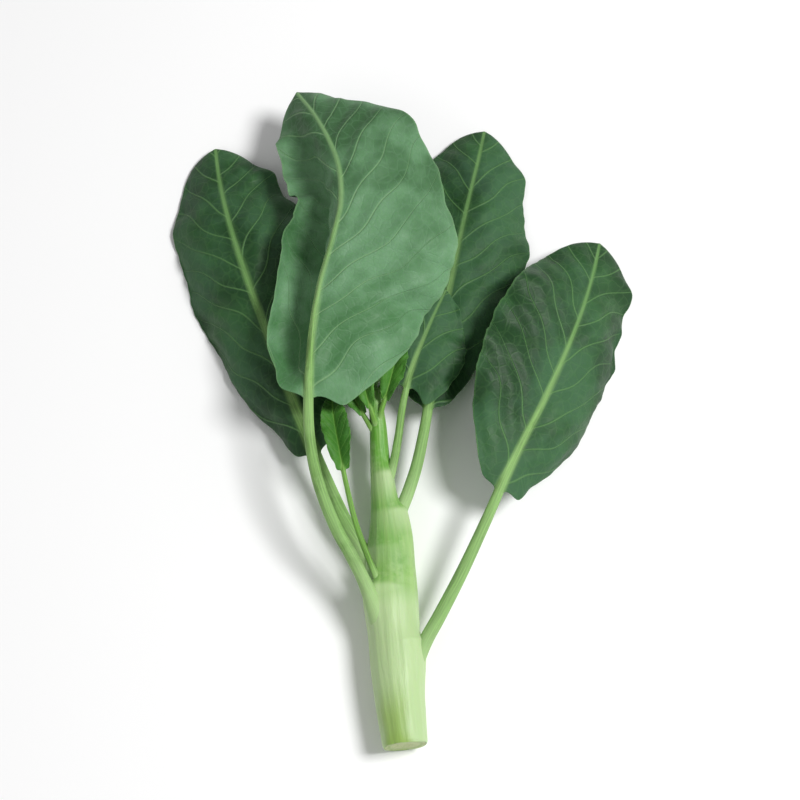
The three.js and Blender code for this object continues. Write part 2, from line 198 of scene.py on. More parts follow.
# %% Node helpers
class Wiring:
    def __init__(self, tree):
        self.tree = tree

    def add(self, kind, **settings):
        made = self.tree.nodes.new(kind)
        for key, value in settings.items():
            setattr(made, key, value)
        return made

    def feed(self, socket, value):
        if isinstance(value, bpy.types.NodeSocket):
            self.tree.links.new(value, socket)
        elif value is not None:
            socket.default_value = value

    def maths(self, operation, a, b=None, c=None):
        made = self.add("ShaderNodeMath", operation=operation)
        for socket, value in zip(made.inputs, (a, b, c)):
            self.feed(socket, value)
        return made.outputs[0]

    def fade(self, value, start, end, low=0.0, high=1.0):
        """low before start, high after end, and a smooth change between."""
        made = self.add("ShaderNodeMapRange", interpolation_type="SMOOTHSTEP")
        for socket, v in zip(made.inputs, (value, start, end, low, high)):
            self.feed(socket, v)
        return made.outputs[0]

    def mix(self, factor, a, b, blend="MIX"):
        made = self.add("ShaderNodeMix", data_type="RGBA", blend_type=blend)
        for index, value in ((0, factor), (6, a), (7, b)):
            self.feed(made.inputs[index], value)
        return made.outputs[2]

    def stretch(self, vector, scale):
        made = self.add("ShaderNodeMapping")
        self.feed(made.inputs["Vector"], vector)
        made.inputs["Scale"].default_value = scale
        return made.outputs[0]

    def noise(self, vector, scale, detail=3.0, roughness=0.55):
        made = self.add("ShaderNodeTexNoise")
        self.feed(made.inputs["Vector"], vector)
        self.feed(made.inputs["Scale"], scale)
        made.inputs["Detail"].default_value = detail
        made.inputs["Roughness"].default_value = roughness
        return made.outputs[0]

    def cells(self, vector, scale):
        """Distance from the nearest wall of a net of cells."""
        made = self.add("ShaderNodeTexVoronoi", feature="DISTANCE_TO_EDGE")
        self.feed(made.inputs["Vector"], vector)
        self.feed(made.inputs["Scale"], scale)
        return made.outputs["Distance"]

    def value_of(self, name):
        return self.add("ShaderNodeAttribute", attribute_name=name).outputs["Fac"]

    def place(self):
        return self.add("ShaderNodeTexCoord").outputs["Object"]

    def map(self, name):
        return self.add("ShaderNodeUVMap", uv_map=name).outputs[0]


def rgb(red, green, blue):
    return (red, green, blue, 1.0)


def effect(name, inputs, outputs):
    """A node group with named inputs and outputs: (name, socket kind, default)."""
    tree = bpy.data.node_groups.new(name, "ShaderNodeTree")
    for label, kind, value in inputs:
        socket = tree.interface.new_socket(label, in_out="INPUT", socket_type=kind)
        if value is not None:
            socket.default_value = value
    for label, kind in outputs:
        tree.interface.new_socket(label, in_out="OUTPUT", socket_type=kind)
    wire = Wiring(tree)
    return tree, wire, wire.add("NodeGroupInput").outputs, wire.add("NodeGroupOutput").inputs


def use(wire, group, **values):
    made = wire.add("ShaderNodeGroup", node_tree=group)
    for label, value in values.items():
        wire.feed(made.inputs[label.replace("_", " ")], value)
    return made.outputs


# %% [markdown]
# ## Shared effects
# Three effects turn up in several finishes, so each is a node group made once. Veins draws the side
# veins and the fine net between them. Bloom is the thin grey wax that rubs off gai lan in patches.
# Fibres are the fine lengthwise lines in the skin of stems and leaf stalks.

# %% Effect: leaf veins
FLOAT, VECTOR = "NodeSocketFloat", "NodeSocketVector"

veins, wire, given, out = effect(
    "leaf_veins",
    [
        ("Map", VECTOR, None),
        ("Phase", FLOAT, 0.0),
        ("Out", FLOAT, 0.0),
        ("Spacing", FLOAT, 11.0),
        ("Width", FLOAT, 0.6),
        ("Net Size", FLOAT, 3.4),
    ],
    [("Vein", FLOAT), ("Net", FLOAT), ("Fine Net", FLOAT)],
)
turn = wire.maths("FRACT", wire.maths("ADD", given["Phase"], 100.5))
off = wire.maths("MULTIPLY", wire.maths("ABSOLUTE", wire.maths("SUBTRACT", turn, 0.5)),
    given["Spacing"])
narrow = wire.fade(given["Out"], 0.0, 34.0, 1.0, 0.3)
edge = wire.maths("MULTIPLY", given["Width"], narrow)
wire.feed(out["Vein"], wire.maths("SUBTRACT", 1.0, wire.fade(off, 0.0, edge)))
bent = wire.add("ShaderNodeVectorMath", operation="MULTIPLY_ADD")
wobble = wire.add("ShaderNodeTexNoise")
wire.feed(wobble.inputs["Vector"], given["Map"])
wobble.inputs["Scale"].default_value = 22.0
wire.feed(bent.inputs[0], wobble.outputs["Color"])
bent.inputs[1].default_value = (0.02, 0.02, 0.0)
wire.feed(bent.inputs[2], given["Map"])
coarse = wire.cells(bent.outputs[0], wire.maths("DIVIDE", 100.0, given["Net Size"]))
fine = wire.cells(bent.outputs[0], wire.maths("DIVIDE", 300.0, given["Net Size"]))
wire.feed(out["Net"], wire.fade(coarse, 0.0, 0.11, 1.0, 0.0))
wire.feed(out["Fine Net"], wire.fade(fine, 0.0, 0.16, 1.0, 0.0))

# %% Effect: waxy bloom
bloom, wire, given, out = effect(
    "waxy_bloom",
    [("Place", VECTOR, None), ("Patch", FLOAT, 90.0), ("Amount", FLOAT, 0.5)],
    [("Mask", FLOAT)],
)
broad = wire.noise(given["Place"], given["Patch"], 2.0)
rubbed = wire.noise(given["Place"], wire.maths("MULTIPLY", given["Patch"], 7.0), 4.0, 0.7)
both = wire.maths("ADD", broad, wire.maths("MULTIPLY", wire.maths("SUBTRACT", rubbed, 0.5), 0.45))
wire.feed(out["Mask"], wire.maths("MULTIPLY", wire.fade(both, 0.36, 0.66), given["Amount"]))

# %% Effect: lengthwise fibres
fibres, wire, given, out = effect(
    "lengthwise_fibres",
    [("Skin", VECTOR, None), ("Fineness", FLOAT, 1.0)],
    [("Broad", FLOAT), ("Thin", FLOAT)],
)
wire.feed(out["Broad"], wire.noise(given["Skin"], given["Fineness"], 2.0, 0.5))
thin = wire.noise(given["Skin"], wire.maths("MULTIPLY", given["Fineness"], 3.4), 2.0, 0.6)
wire.feed(out["Thin"], thin)
print("effects:", [group.name for group in bpy.data.node_groups])

# %% [markdown]
# ## The stem
# The stem is thickest in its lower half and draws in to a slim neck below the growing tip. Under
# each leaf it swells on that side, and it steps in again just above, which gives gai lan its
# knuckled look. The radius is a track along the stem, and each node adds a swelling of its own.

# %% Stem shape
STEM_RADIUS = 7.4
STEM_TAPER = [0.86, 0.95, 1.0, 1.0, 0.98, 0.86, 0.58, 0.42, 0.34, 0.26]
STEM_SPINE = Spine([
    (7.6, -99, 7.42), (6.2, -87, 7.5), (4.8, -73, 7.6), (4.0, -58, 7.6), (3.4, -45, 7.8),
    (2.4, -34, 8.3), (1.2, -24, 9.2), (0.2, -14, 10.4), (-0.4, -4, 12.2), (-1.6, 5, 14.4),
])
NODES = {  # share along the stem, degrees round it from its right side over its top, swelling in mm
    "right": (0.27, 14, 1.5),
    "front": (0.425, 145, 1.8),
    "back_left": (0.54, 205, 1.0),
    "back_right": (0.645, 15, 1.8),
    "upper": (0.755, 60, 0.9),
}
SWELL_BELOW, SWELL_ABOVE, SWELL_WIDTH = 0.16, 0.05, 42


def stem_radius(along, turned):
    radius = STEM_RADIUS * track(STEM_TAPER, along)
    for at, way, swell in NODES.values():
        rise = smooth((along - at + SWELL_BELOW) / SWELL_BELOW)
        fall = 1 - smooth((along - at) / SWELL_ABOVE)
        off = (turned - way + 540) % 360 - 180
        radius = radius + swell * rise * fall * np.exp(-((off / SWELL_WIDTH) ** 2))
    return radius


def around_stem(along, turned, radius):
    _, right, up = STEM_SPINE.directions(along, 0 * along)
    angle = np.radians(turned)[..., None]
    return STEM_SPINE.at(along) + radius[..., None] * (right * np.cos(angle) + up * np.sin(angle))


# %% [markdown]
# The skin isn't smooth: about a dozen soft ribs run up it, the leaf scars make a faint collar at each
# node, and the knife leaves a rim that curls in a little. The cut face itself is the first few rows,
# drawn in to the middle. These details are small, so they are added to the radius as waves.

# %% Stem mesh
STEM_ROWS, STEM_AROUND, CUT_ROWS = 300, 144, 10

turned = np.degrees(ring_angles(STEM_AROUND))[None, :]
body_rows = np.linspace(0, 1, STEM_ROWS)[:, None]
along, turned = np.broadcast_arrays(body_rows, turned)
ribs = 0.07 * np.sin(np.radians(turned * 11) + 5
    * along) + 0.03 * np.sin(np.radians(turned * 23) - 9 * along)
radius = stem_radius(along, turned) + ribs * track([1, 1, 1, 0.8, 0.4, 0.2], along)
node_glow = 0 * along
for at, way, swell in NODES.values():
    off = (turned - way + 540) % 360 - 180
    line = at + 0.012 * np.cos(np.radians(off))
    radius = radius + 0.13 * swell * np.exp(-(((along - line) / 0.006) ** 2)) * np.exp(-((off
        / 60) ** 2))
    below = np.where(along < at, 0.075, 0.018)
    near = np.exp(-(((along - at) / below) ** 2)) * (0.35 + 0.65 * np.exp(-((off / 75) ** 2)))
    node_glow = np.maximum(node_glow, near)
rim = smooth(along / 0.006)
radius = radius * (0.955 + 0.045 * rim)
skin = around_stem(along, turned, radius)

inward = np.linspace(0.02, 0.999, CUT_ROWS)[:, None]
cut_radius = stem_radius(0 * inward + 0 * turned[:1], turned[:1] + 0 * inward) * 0.955 * inward
cut_along = 0 * cut_radius
face = around_stem(cut_along, turned[:1] + 0 * inward, cut_radius)
tangent = STEM_SPINE.directions(np.zeros(1), np.zeros(1))[0][0]
dish = 0.35 * (1 - inward**2) + 0.12 * np.sin(3 * np.radians(turned[:1]) + 1) * inward
face = face + dish[..., None] * tangent
stem_rings = np.concatenate([face, skin])

cut_values = {
    "cut": np.concatenate([np.ones_like(cut_radius), 0 * along]),
    "reach": np.concatenate([inward + 0 * turned[:1], np.ones_like(along)]),
    "along": np.concatenate([cut_along, along]),
    "node_glow": np.concatenate([cut_along, node_glow]),
    "round_x": np.concatenate([np.cos(np.radians(turned[:1])) + 0 * inward,
    np.cos(np.radians(turned))]),
    "round_y": np.concatenate([np.sin(np.radians(turned[:1])) + 0 * inward,
    np.sin(np.radians(turned))]),
}

solid_low, solid_high = (np.array(corner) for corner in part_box("stem"))
own_low, own_high = stem_rings.reshape(-1, 3).min(axis=0), stem_rings.reshape(-1, 3).max(axis=0)
SHIFT = (solid_low + solid_high) / 2 / MM - (own_low + own_high) / 2
print("the packed model's origin is moved by (mm):", np.round(SHIFT, 2))

stem = piece_from(tube_mesh("stem_skin", stem_rings + SHIFT, cut_values))

# %% [markdown]
# ## Leaves: how one is put together
# A gai lan leaf is one piece from its foot on the stem to its tip: a round stalk, the midrib that
# carries it on, and the blade. To shape it, think of a sheet of paper with lines ruled across the
# midrib. Each line keeps its length but may bend, so a slope from midrib to margin says how that half
# folds. On top of the fold come waves that grow towards the margin, hollows between the side veins,
# and teeth along the edge. Where a blade comes down on the table it flattens against it.

# %% Leaf recipes
FLOOR_CLEAR, FLOOR_SOFTNESS = 0.55, 0.6
BLADE_THICKNESS = 0.62
VEIN_SPACING, YOUNG_SPACING = 11.0, 3.4

LEAVES = {
    "leaf_front": dict(
        spine=[(2.2, -70, 8.6), (-0.6, -61.5, 12.2), (-4.2, -53, 15.4), (-8, -46, 18.2),
        (-12.4, -38.5, 21), (-17, -27, 23.6),
               (-19.6, -15, 25.4), (-20.3, -3, 27), (-19.8, 14.5, 29.4), (-17.6, 31, 31.8),
               (-13.8, 45.5, 33.6), (-11.4, 57, 34), (-12, 69, 32.8), (-15.4, 80, 30),
               (-20, 90.5, 25.5),
               (-25.6, 101.5, 18)],
        petiole=0.405, stalk=(2.08, 1.49, 0.43), width=(29, 37), widest=0.4,
        fullness=(0.78, 0.46, 0.8),
        lobe=(3, 8), roll=[0, 0, -4, -6, -4, 2, 6],
        left=[(-74, -66, 0, 26), (-92, -80, 4, 64), (-16, -98, -18, 46), (-6, -26, -34, -26)],
        right=[(-2, -6, -14, -26), (10, -1, -16, -34), (12, -2, -16, -30), (0, -8, -16, -24)],
        ruffle=(2.2, 3.4, 0.2, 0.65), rib_up=True),
    "leaf_right": dict(
        spine=[(6.2, -86, 7.8), (10.2, -76, 9), (13.6, -69, 10.3), (17.6, -62, 11.8),
        (24.2, -49.5, 14.2), (30.6, -36, 16.2),
               (36.6, -22.5, 17.2), (42.4, -10.5, 17.4), (48.4, 1.5, 17.2), (54.4, 15, 16.4),
               (60, 29.5, 14), (64.4, 44, 9.8), (67.4, 57, 4)],
        petiole=0.42, stalk=(2.3, 1.5, 0.4), width=(25, 25), widest=0.46,
        fullness=(0.8, 0.52, 0.52),
        lobe=(3, 5), roll=[0, -3, -8, -13, -13, -6],
        left=[(18, 12, 3, -8), (20, 13, 2, -12), (16, 10, 3, -6), (8, 2, -4, -10)],
        right=[(8, -15, -41, -70), (6, -24, -52, -76), (0, -28, -50, -66), (-4, -18, -29, -36)],
        ruffle=(2.0, 3.2, 0.05, 0.4), rib_up=False),
    "leaf_back_right": dict(
        spine=[(3.2, -40, 8), (5.6, -32, 8.8), (8.4, -25, 9.6), (11.2, -16, 10.4), (13.6, -4, 11),
        (15.6, 9, 10.6),
               (18, 23, 10.6), (20.8, 38, 10.8), (24, 54, 10.8), (27.4, 70, 10), (30.4, 84, 7),
               (32.6, 96, 2.6)],
        petiole=0.3, stalk=(2.1, 1.5, 0.4), width=(26, 24), widest=0.5, fullness=(0.85, 0.52, 0.52),
        lobe=(2, 3), roll=[0, 2, 4, 6, 6, 2],
        left=[(-6, -12, -20, -30), (-4, -11, -20, -30), (0, -10, -20, -30), (0, -7, -13, -20)],
        right=[(8, -10, -29, -50), (8, -16, -39, -62), (4, -19, -40, -58), (0, -15, -28, -38)],
        ruffle=(1.8, 3.6, 0.5, 0.1), rib_up=False),
    "leaf_back_left": dict(
        spine=[(2, -56, 7.2), (-1.6, -48, 6.8), (-5.2, -41, 7), (-10.4, -32, 7.6),
        (-16.8, -18, 9.2), (-23, -3, 11.2),
               (-29.4, 13, 12.6), (-35.6, 29.5, 13.6), (-41.4, 46, 13.6), (-46.2, 62, 11.6),
               (-49.6, 77, 7.2), (-51.6, 90, 2.4)],
        petiole=0.3, stalk=(2.4, 1.9, 0.45), width=(25, 27), widest=0.52,
        fullness=(0.85, 0.52, 0.52),
        lobe=(4, 3), roll=[0, 4, 6, 6, 2, 0],
        left=[(4, -18, -40, -64), (2, -25, -50, -74), (0, -25, -46, -64), (0, -15, -27, -36)],
        right=[(0, -13, -24, -34), (4, -10, -23, -34), (4, -8, -21, -34), (4, -5, -15, -24)],
        ruffle=(2.0, 3.8, 0.3, 0.8), rib_up=False),
    "leaf_upper": dict(
        spine=[(1, -25, 9.4), (3.8, -18, 11.6), (5.6, -9, 13), (6.8, 0, 14.2), (8.8, 9, 15.6),
               (12, 18, 17), (15.8, 27, 17.8), (19.8, 36, 17.4)],
        petiole=0.5, stalk=(1.4, 1.0, 0.3), width=(11, 14), widest=0.36, fullness=(0.55, 0.7, 0.7),
        lobe=(3, 6), roll=[0, -2, -4, -4],
        left=[(6, 2, -4, -10), (8, 2, -4, -12), (6, -1, -8, -16), (0, -6, -12, -20)],
        right=[(4, 0, -8, -18), (4, -2, -10, -20), (2, -5, -12, -20), (0, -6, -12, -20)],
        ruffle=(1.0, 2.6, 0.3, 0.0), rib_up=False),
}


def young_leaf(spine, half_width, cup, crinkle):
    slopes = [[cup * share * v for v in (1, 0.95, 0.7, 0.3)] for share in (1, 1, 0.8, 0.5)]
    return dict(
        spine=spine, petiole=0.3, stalk=(1.0, 0.7, 0.3), width=(half_width, half_width), widest=0.5,
        fullness=(0.8, 0.75, 0.75), lobe=(1, 1), roll=[0, 0], left=slopes, right=slopes,
        ruffle=(crinkle, 2.8, 0.15, 0.6), rib_up=False)


YOUNG_LEAVES = {
    "young_leaf_left": young_leaf(
        [(-0.4, -9, 11.4), (-3.2, -4.5, 13.2), (-6.6, 1, 14.8), (-9.8, 8, 16), (-12.6, 15.5, 16.2)],
        4.2, 46, 0.6),
    "young_leaf_right": young_leaf(
        [(-0.4, -5, 12.2), (0.8, -1, 15.6), (2.6, 4, 18.4), (4.6, 11, 20.2), (7, 19, 20.6)], 4.2,
        46, 0.6),
    "young_leaf_top": young_leaf(
        [(-0.4, -7, 11.8), (-1.8, -3, 15.6), (-3.6, 2, 18.6), (-5.2, 8.5, 20.6),
        (-6.6, 16.5, 21.2)], 3.8, 46, 0.6),
    "axil_leaf": young_leaf(
        [(1.4, -56, 11), (-2.6, -47, 14.6), (-6.4, -37, 17), (-9.2, -26, 18.4), (-11.4, -15, 19),
         (-13, -6, 18.6), (-14, 2, 17.4)], 4.8, 46, 0.5),
}
YOUNG_LEAVES["axil_leaf"].update(petiole=0.62, fullness=(0.55, 0.5, 0.5))


# %% [markdown]
# The recipe becomes a surface in a few measures: how wide the blade is, how thick its stalk and rib
# are, how steeply a line across it slopes, and how the margin waves. Each is a small function of the
# share up the blade and the share out from the midrib, so each can be changed on its own.

# %% Leaf shape
def leaf_outline(leaf, side, blade):
    width = np.where(side < 0, leaf["width"][0], leaf["width"][1])
    base, tip_left, tip_right = leaf["fullness"]
    rising = np.sin(math.pi / 2 * np.clip(blade / leaf["widest"], 0, 1)) ** base
    beyond = np.clip((blade - leaf["widest"]) / (1 - leaf["widest"]), 0, 1)
    falling = np.maximum(0, np.cos(math.pi / 2 * beyond)) ** np.where(side < 0, tip_left, tip_right)
    return width * np.where(blade < leaf["widest"], rising, falling)


def stalk_radius(leaf, along):
    base, top, tip = leaf["stalk"]
    down = np.clip(1 - along / leaf["petiole"], 0, 1)
    up = np.clip((along - leaf["petiole"]) / (1 - leaf["petiole"]), 0, 1)
    foot = base * 0.5 * smooth((down - 0.7) / 0.3)
    return np.where(along < leaf["petiole"], top + (base - top) * down + foot,
        top + (tip - top) * up**0.5)


def slope_at(rows, blade, q):
    """The slope at a share q of the way from midrib to margin, between four stations up the blade."""
    a, b, c, d = (track([row[k] for row in rows], blade) for k in range(4))
    place = np.clip(q, 0, 1) * 3
    i = np.minimum(place.astype(int), 2)
    t = place - i
    before, start = np.choose(i, (a, a, b)), np.choose(i, (a, b, c))
    end, after = np.choose(i, (b, c, d)), np.choose(i, (c, d, d))
    slope_a, slope_b = (end - before) / 2, (after - start) / 2
    bend_c = 3 * (end - start) - 2 * slope_a - slope_b
    bend_d = 2 * (start - end) + slope_a + slope_b
    return start + t * (slope_a + t * (bend_c + t * bend_d))


def leaf_section(leaf, side, blade, q, half_width, steps=24):
    """How far the blade reaches sideways and up at a share q of its half-width, and its slope."""
    sideways, up = 0 * q, 0 * q
    opened = smooth(blade / 0.12)
    step = q * half_width / steps
    for i in range(steps):
        at = q * (i + 0.5) / steps
        degrees = np.where(side < 0, slope_at(leaf["left"], blade, at),
            slope_at(leaf["right"], blade, at))
        slope = np.radians(opened * degrees)
        sideways = sideways + step * np.cos(slope)
        up = up + step * np.sin(slope)
    return sideways, up, slope


def margin_waves(leaf, side, blade, q):
    height, waves, left, right = leaf["ruffle"]
    start = np.where(side < 0, left, right)
    fading = smooth(blade / 0.2) * smooth((1 - blade) / 0.15)
    wave = np.sin(2 * math.pi * (waves * blade + start))
    quick = 0.35 * np.sin(2 * math.pi * (2.3 * waves * blade + 2 * start))
    return height * fading * q**2.2 * (wave + quick)


# %% [markdown]
# Side veins leave the midrib every 11 mm or so and lean towards the tip as they run out. Each point of
# the blade gets a vein phase that is a whole number on a vein and one half between two. The blade
# swells between veins, and the finish draws the veins themselves from the same number, so that shape
# and colour agree.


# %% Leaf mesh
def vein_phase(leaf, spine_mm, out_mm, side, seed):
    lean = 1.35 * out_mm - 0.007 * out_mm**2
    wander = 1.9 * np.sin(spine_mm * 0.11 + seed + 1.3 * side) + 0.9 * np.sin(spine_mm * 0.31
        + out_mm * 0.12 + 2 * seed)
    drift = 0.5 * np.sin(out_mm * 0.35 + seed * 3 + spine_mm * 0.05)
    return (spine_mm - lean + wander + drift) / leaf.get("veins", VEIN_SPACING) + np.where(side < 0,
        0.42, 0.0)


def table_rest(z):
    return FLOOR_CLEAR + FLOOR_SOFTNESS * np.logaddexp(0, (z - FLOOR_CLEAR) / FLOOR_SOFTNESS)


def table_give(z):
    return 1 / (1 + np.exp(np.clip((FLOOR_CLEAR - z) / FLOOR_SOFTNESS, -60, 60)))


def softly_larger(a, b, softness):
    return 0.5 * (a + b + np.sqrt((a - b) ** 2 + softness**2)) - 0.5 * softness


def grow_leaf(name, leaf, rows, around, seed, pucker=0.75, tooth=0.008):
    spine = Spine(leaf["spine"])
    angle = ring_angles(around)
    gathered = np.sign(np.cos(angle)) * np.abs(np.cos(angle)) ** 1.35
    across = np.where(np.abs(np.cos(angle)) < 1e-9, 0, gathered)
    along, across = np.broadcast_arrays(np.linspace(0, 1, rows)[:, None], across[None, :])
    face = np.broadcast_to(np.where(np.sin(angle) >= -1e-9, 1, -1)[None, :], along.shape)
    side, q = np.sign(across), np.abs(across)
    blade = np.clip((along - leaf["petiole"]) / (1 - leaf["petiole"]), 0, 1)
    radius = stalk_radius(leaf, along)
    outline = leaf_outline(leaf, side, blade)
    teeth = np.sin(2 * math.pi * 9 * blade + seed + side) + 0.6 * np.sin(2 * math.pi * 23 * blade
        + 2 * seed)
    uneven = 0.012 * np.sin(2 * math.pi * 3.3 * blade + seed * 5 + side * 2)
    outline = outline * (1 + (tooth * teeth + uneven) * smooth(blade / 0.1)
        * smooth((1 - blade) / 0.06))
    half_width = np.hypot(radius, outline)
    out_mm = q * half_width
    spine_mm = (along - leaf["petiole"]) * spine.length
    phase = vein_phase(leaf, spine_mm, out_mm, side, seed)

    sideways, rise, slope = leaf_section(leaf, side, blade, q, half_width)
    wave = margin_waves(leaf, side, blade, q)
    fine = leaf["ruffle"][0] * 0.2 * q**4 * np.sin(2 * math.pi * 8.5 * blade + seed * 7 + side)
    wave = (wave + fine * smooth(blade / 0.15) * smooth((1 - blade) / 0.1)) * np.maximum(0.3,
        np.cos(slope))
    upper_way = -1 if leaf["rib_up"] else 1
    between = 0.5 - 0.5 * np.cos(2 * math.pi * phase)
    room = smooth((out_mm - radius) / 5) * smooth((1 - q) / 0.22) * smooth(blade
        / 0.12) * smooth((1 - blade) / 0.1)
    dimple = 0.12 * np.sin(spine_mm * 0.7 + out_mm * 0.3 + seed) * np.sin(out_mm * 0.6 - spine_mm
        * 0.2 + seed * 2)
    broad = 1.3 * np.sin(spine_mm * 0.17 + seed * 3) * np.sin(out_mm * 0.15 + side)
    wave = wave + upper_way * pucker * room * (between - 0.4 + dimple + broad)

    tangent, right, up = spine.directions(along, track(leaf["roll"], along))
    lobe = np.where(side < 0, leaf["lobe"][0], leaf["lobe"][1])
    hang = lobe * q**2 * smooth(blade / 0.06) * (1 - smooth(blade / 0.4))

    def spread(v):
        return v[..., None]

    middle = spine.at(along) - tangent * spread(hang)
    middle = middle + right * spread(side * (sideways - wave * np.sin(slope))) + up * spread(rise
        + wave * np.cos(slope))
    tilt = np.arctan2(np.sin(slope) * table_give(middle[..., 2]), np.cos(slope))
    middle[..., 2] = np.where(blade > 0, table_rest(middle[..., 2]), middle[..., 2])

    edge = np.sqrt(np.maximum(0, 1 - across**2))
    rib = radius * np.sqrt(np.maximum(0, 1 - (out_mm / radius) ** 2))
    rib_side = face == (1 if leaf["rib_up"] else -1)
    rib = np.where(rib_side, rib, rib * (1 - 0.8 * smooth(blade / 0.1)))
    web = BLADE_THICKNESS / 2 * np.sqrt(edge)
    web = np.minimum(web, radius * edge + web * smooth(blade / 0.05))
    ridge = 0.30 * np.exp(-((between * 3.2) ** 2)) * smooth((1 - q)
        / 0.5) * smooth((out_mm - radius) / 2)
    ridge = ridge * smooth(blade / 0.1) * smooth((1 - blade) / 0.1)
    lift = softly_larger(rib, web + np.where(rib_side, ridge, -0.25 * ridge),
        0.16 * smooth(blade / 0.05))
    lift = np.where(blade > 0, lift, np.maximum(rib, 0)) * np.where(edge > 1e-6, 1, 0)
    lift = face * lift
    rings = middle + right * spread(-side * lift * np.sin(tilt)) + up * spread(lift * np.cos(tilt))

    values = {
        "phase": phase,
        "out": out_mm,
        "under": np.where(rib_side, 1.0, 0.0) + 0 * along,
        "rib": np.where(blade > 0, np.exp(-((out_mm / (radius * 1.15)) ** 4)), 1.0),
        "foot": 1 - smooth((along - 0.03) / 0.16),
        "margin": q * smooth(blade / 0.05),
        "blade": blade,
    }
    mapped = np.stack([spine_mm / 100, across * half_width / 100], axis=-1)
    return piece_from(tube_mesh(name, rings + SHIFT, values, "leaf_map", mapped))


# %% Grow the leaves
grown = {}
for seed, (name, recipe) in enumerate(LEAVES.items(), start=1):
    small = name == "leaf_upper"
    rows, around = (150, 96) if small else (270, 148)
    grown[name] = grow_leaf(name + "_grown", recipe, rows, around, seed * 1.7,
        0.35 if small else 0.55)

# %% [markdown]
# The young leaves at the tip are the same machine with a fraction of the size, and crinkled, because
# they haven't opened out yet.

# %% Grow the young leaves
for seed, (name, recipe) in enumerate(YOUNG_LEAVES.items(), start=11):
    recipe["veins"] = YOUNG_SPACING
    grown[name] = grow_leaf(name + "_grown", recipe, 120, 72, seed * 1.3, 0.3, 0.025)

# %% [markdown]
# ## Flower buds
# The tip ends in a small head of closed buds, each on its own thin stalk. They are all alike, so one
# bud is modelled and Geometry Nodes place it: a point for each bud carries the way it faces and how
# big it is, and the tree turns and scales a copy there.

# %% One bud
BUD_LENGTH, BUD_RADIUS, PEDICEL_RADIUS = 4.6, 1.45, 0.42
BUD_RINGS = [(0.965, 64, 3.2, (236, 304)), (0.985, 38, 5.6, (60, 118, 206, 278)),
    (0.992, 0, 8.4, (0,))]

rise = np.linspace(0, 1, 40)[:, None]
turn = ring_angles(24)[None, :]
in_bud = np.clip((rise - 0.45) / 0.55, 0, 1)
swell = np.sqrt(np.maximum(0, np.sin(math.pi * np.minimum(0.97, in_bud) ** 0.85)))
sepals = 1 + 0.09 * np.cos(4 * turn) * smooth(in_bud * 3) * (0.4 + in_bud)
bud_radius = (PEDICEL_RADIUS + (BUD_RADIUS - PEDICEL_RADIUS) * swell) * np.where(in_bud > 0, sepals,
    1)
scale_up = 8.4
bud_rings = np.stack([bud_radius * np.cos(turn), bud_radius * np.sin(turn),
    scale_up * rise + 0 * turn], axis=-1)
one_bud = bpy.data.objects.new("one_bud",
    tube_mesh("one_bud", bud_rings, {"in_bud": in_bud + 0 * turn}))

# %% [markdown]
# Buds stand in rings round the growing tip, and lean out more the lower their ring. A mesh of loose
# points holds their places, with the direction and size of each bud as attributes.

# %% Where the buds stand
bud_points, bud_ways, bud_sizes = [], [], []
for at, lean, pedicel, ways in BUD_RINGS:
    share = np.array([at])
    ahead, right, up = (v[0] for v in STEM_SPINE.directions(share, np.zeros(1)))
    for way in ways:
        outward = right * math.cos(math.radians(way)) + up * math.sin(math.radians(way))
        leaning = math.radians(lean * 0.72)
        bud_points.append((STEM_SPINE.at(share)[0] + SHIFT) * MM)
        bud_ways.append(ahead * math.cos(leaning) + outward * math.sin(leaning))
        bud_sizes.append((pedicel + BUD_LENGTH) / scale_up)
seeds = bpy.data.meshes.new("bud_places")
seeds.from_pydata([tuple(p) for p in bud_points], [], [])
seeds.attributes.new("way", "FLOAT_VECTOR", "POINT").data.foreach_set("vector", np.ravel(bud_ways))
seeds.attributes.new("size", "FLOAT", "POINT").data.foreach_set("value", bud_sizes)
buds = piece_from(seeds)

# %% [markdown]
# The tree reads those attributes, turns a copy of the bud to its direction, scales it, makes the
# copies real and gives them the finish.

# %% The tree that sets the buds
tree = bpy.data.node_groups.new("set_buds", "GeometryNodeTree")
for label, way, kind in (
    ("Places", "INPUT", "NodeSocketGeometry"), ("Bud", "INPUT", "NodeSocketObject"),
    ("Size", "INPUT", "NodeSocketFloat"), ("Finish", "INPUT", "NodeSocketMaterial"),
    ("Buds", "OUTPUT", "NodeSocketGeometry"),
):
    tree.interface.new_socket(label, in_out=way, socket_type=kind)
wire = Wiring(tree)
given, out = wire.add("NodeGroupInput").outputs, wire.add("NodeGroupOutput").inputs
way = wire.add("GeometryNodeInputNamedAttribute", data_type="FLOAT_VECTOR")
way.inputs["Name"].default_value = "way"
size = wire.add("GeometryNodeInputNamedAttribute", data_type="FLOAT")
size.inputs["Name"].default_value = "size"
aim = wire.add("FunctionNodeAlignRotationToVector", axis="Z")
wire.feed(aim.inputs["Vector"], way.outputs["Attribute"])
copy = wire.add("GeometryNodeObjectInfo")
wire.feed(copy.inputs["Object"], given["Bud"])
set_on = wire.add("GeometryNodeInstanceOnPoints")
wire.feed(set_on.inputs["Points"], given["Places"])
wire.feed(set_on.inputs["Instance"], copy.outputs["Geometry"])
wire.feed(set_on.inputs["Rotation"], aim.outputs["Rotation"])
wire.feed(set_on.inputs["Scale"], wire.maths("MULTIPLY", size.outputs["Attribute"], given["Size"]))
real = wire.add("GeometryNodeRealizeInstances")
wire.feed(real.inputs[0], set_on.outputs[0])
finish = wire.add("GeometryNodeSetMaterial")
wire.feed(finish.inputs["Geometry"], real.outputs[0])
wire.feed(finish.inputs["Material"], given["Finish"])
wire.feed(out["Buds"], finish.outputs[0])


